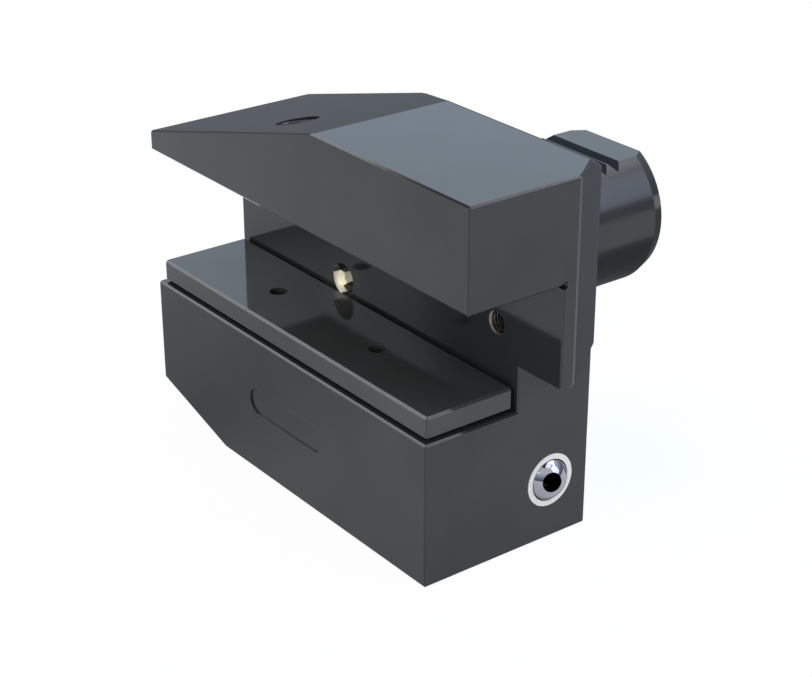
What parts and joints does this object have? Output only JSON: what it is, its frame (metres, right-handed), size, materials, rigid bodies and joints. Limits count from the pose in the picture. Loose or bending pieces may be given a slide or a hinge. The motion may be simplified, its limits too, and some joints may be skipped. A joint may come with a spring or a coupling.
{
  "type": "radial tool holder",
  "caption": "Lathe turret holder: round shank with a toothed rack, and an open slot where a bar raised by set screws clamps a square turning tool.",
  "frame": {"origin": "centre of the shank in the plane of the ground seat face", "axes": "+X towards the overhanging end where the tool's cutting tip is, +Y along the shank away from the block, +Z from the clamping bar up to the jaw"},
  "size_m": [0.118, 0.108, 0.09],
  "materials": {
    "blackened_steel": "ground, black oxide, semi-gloss",
    "blackened_bar": "ground, black oxide, semi-gloss",
    "screw_steel": "black oxide",
    "spring_steel": "drawn wire",
    "bright_steel": "bright turned",
    "ring_steel": "fine blasted",
    "polished_ball": "polished",
    "seat_plastic": "turned sealing plastic",
    "seal_rubber": "moulded"
  },
  "bodies": {
    "holder": {"holder_body": "blackened_steel", "nozzle_ring": "ring_steel", "bore_plug": "bright_steel", "wall_screw": "screw_steel", "nose_plug": "screw_steel", "bottom_plug": "screw_steel", "left_outlet_plug": "screw_steel", "shank_plug": "screw_steel", "shank_seal": "seal_rubber", "inlet_seal": "seal_rubber", "return_spring_left": "spring_steel", "return_spring_right": "spring_steel"},
    "bar": {"clamp_bar": "blackened_bar", "retaining_screw_left": "screw_steel", "retaining_screw_right": "screw_steel"},
    "screw_left": {"clamp_screw_left": "screw_steel"},
    "screw_middle": {"clamp_screw_middle": "screw_steel"},
    "screw_right": {"clamp_screw_right": "screw_steel"},
    "nozzle_turner": {"nozzle_seat": "seat_plastic"},
    "nozzle": {"nozzle_ball": "polished_ball"}
  },
  "joints": [
    {"name": "bar_lift", "type": "slide", "parent": "holder", "child": "bar", "axis": [0, 0, 1], "range_m": [0, 0.003], "deforming": ["return_spring_left", "return_spring_right"]},
    {"name": "screw_middle_turn", "type": "hinge", "parent": "bar", "child": "screw_middle", "pos_m": [0.01, -0.0324, -0.03], "axis": [0, 0, 1], "range_deg": [0, 720]},
    {"name": "screw_left_turn", "type": "hinge", "parent": "bar", "child": "screw_left", "pos_m": [-0.0284, -0.0324, -0.03], "axis": [0, 0, 1], "range_deg": [0, 720]},
    {"name": "screw_right_turn", "type": "hinge", "parent": "bar", "child": "screw_right", "pos_m": [0.0484, -0.0324, -0.03], "axis": [0, 0, 1], "range_deg": [0, 720]},
    {"name": "nozzle_turn", "type": "hinge", "parent": "holder", "child": "nozzle_turner", "pos_m": [0.06015, -0.0108, -0.028], "axis": [1, 0, 0], "continuous": true},
    {"name": "nozzle_tilt", "type": "hinge", "parent": "nozzle_turner", "child": "nozzle", "pos_m": [0.06015, -0.0108, -0.028], "axis": [0, -0.515, -0.8572], "range_deg": [-38, 2]}
  ],
  "couplings": [
    {"joint": "screw_left_turn", "follows": "bar_lift", "rad_per_m": 4188.8},
    {"joint": "screw_middle_turn", "follows": "bar_lift", "rad_per_m": 4188.8},
    {"joint": "screw_right_turn", "follows": "bar_lift", "rad_per_m": 4188.8}
  ]
}
